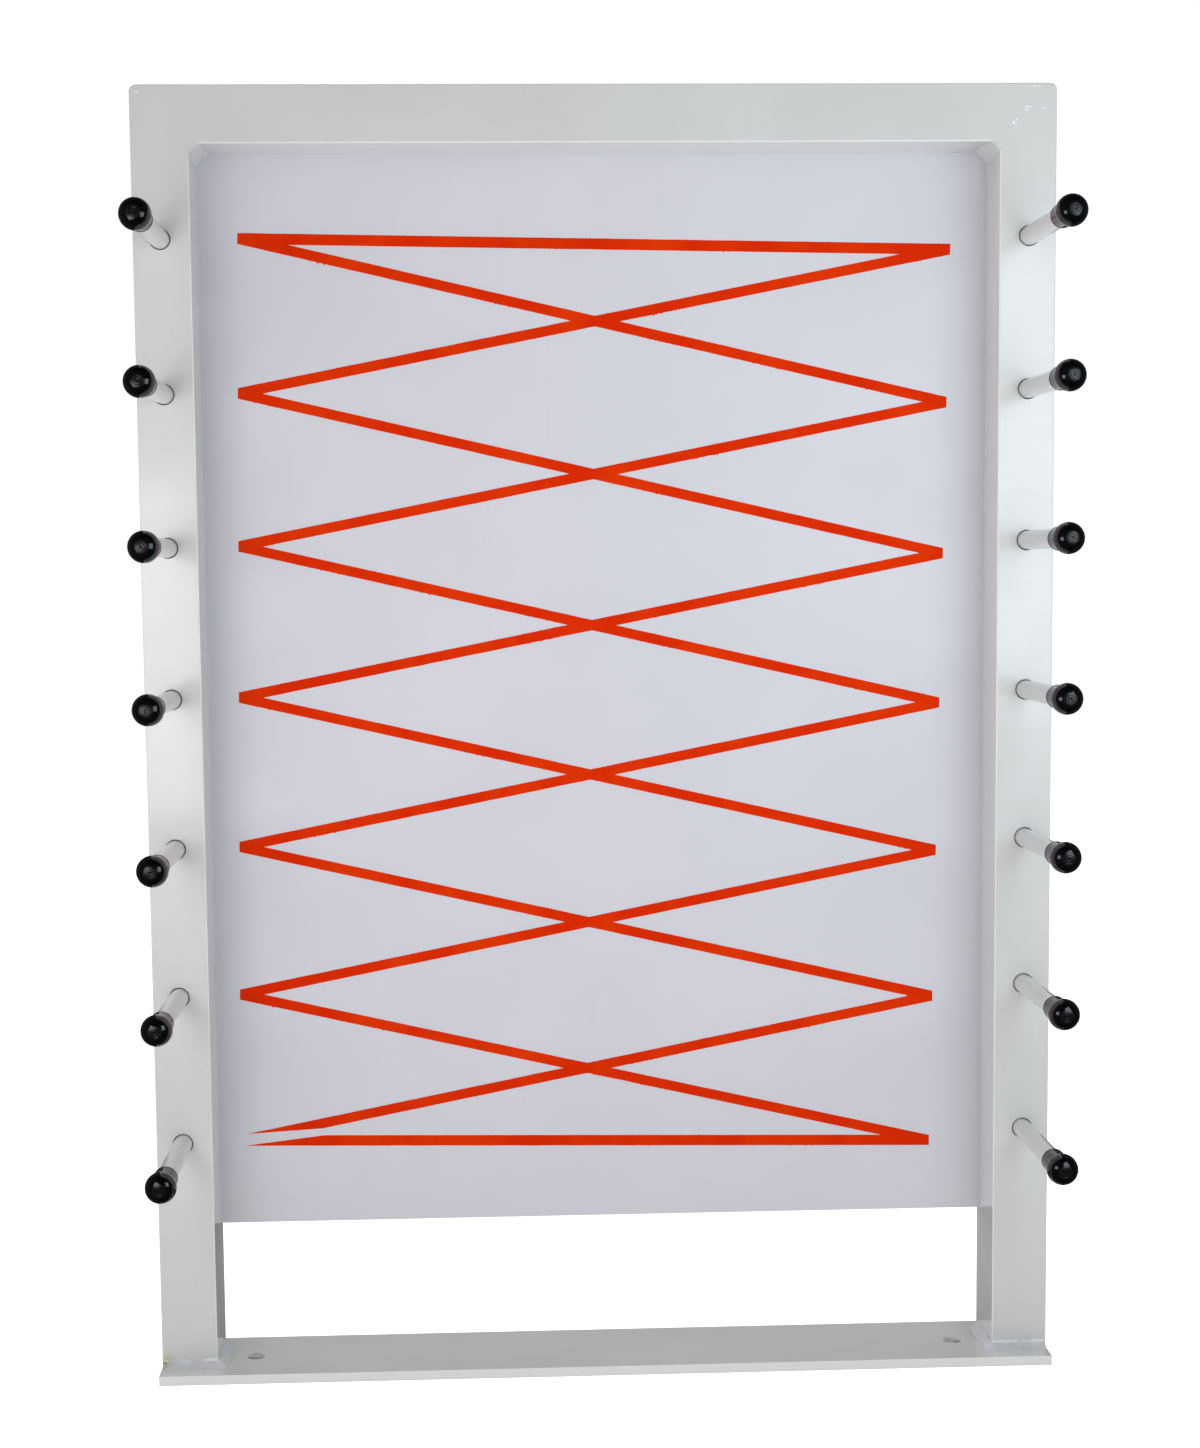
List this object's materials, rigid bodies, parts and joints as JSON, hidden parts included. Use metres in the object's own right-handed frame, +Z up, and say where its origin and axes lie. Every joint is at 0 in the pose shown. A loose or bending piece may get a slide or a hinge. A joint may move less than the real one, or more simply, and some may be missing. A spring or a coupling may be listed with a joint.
{
  "type": "agility hurdle",
  "caption": "Welded portal frame on a flat base bar, with rows of ball-ended pegs on both uprights and a set-back board that carries an orange crossing lattice.",
  "frame": {"origin": "underside of the base plate, midway between its two fixing holes", "axes": "+X along the width to the right seen from the front, +Y from the front to the back (pegs point to -Y), +Z up"},
  "size_m": [0.97, 0.2764, 1.375],
  "materials": {
    "frame_paint": "gloss off-white spray paint over welded steel",
    "peg_paint": "gloss off-white spray paint over round bar",
    "weld_paint": "off-white paint over weld beads",
    "board_paint": "satin cool white paint over sheet steel",
    "orange_film": "satin orange-red adhesive film",
    "knob_plastic": "polished black moulded plastic",
    "insert_brass": "turned brass"
  },
  "bodies": {
    "root": {"base_plate": "frame_paint", "board": "board_paint", "board_back_welds": "weld_paint", "knob_inserts": "insert_brass", "knob_left_1": "knob_plastic", "knob_left_2": "knob_plastic", "knob_left_3": "knob_plastic", "knob_left_4": "knob_plastic", "knob_left_5": "knob_plastic", "knob_left_6": "knob_plastic", "knob_left_7": "knob_plastic", "knob_right_1": "knob_plastic", "knob_right_2": "knob_plastic", "knob_right_3": "knob_plastic", "knob_right_4": "knob_plastic", "knob_right_5": "knob_plastic", "knob_right_6": "knob_plastic", "knob_right_7": "knob_plastic", "lattice_print": "orange_film", "left_foot_weld": "weld_paint", "left_upright": "frame_paint", "peg_back_welds": "weld_paint", "peg_left_1": "peg_paint", "peg_left_2": "peg_paint", "peg_left_3": "peg_paint", "peg_left_4": "peg_paint", "peg_left_5": "peg_paint", "peg_left_6": "peg_paint", "peg_left_7": "peg_paint", "peg_right_1": "peg_paint", "peg_right_2": "peg_paint", "peg_right_3": "peg_paint", "peg_right_4": "peg_paint", "peg_right_5": "peg_paint", "peg_right_6": "peg_paint", "peg_right_7": "peg_paint", "right_foot_weld": "weld_paint", "right_upright": "frame_paint", "top_corner_welds": "weld_paint", "top_rail": "frame_paint"}
  },
  "joints": []
}
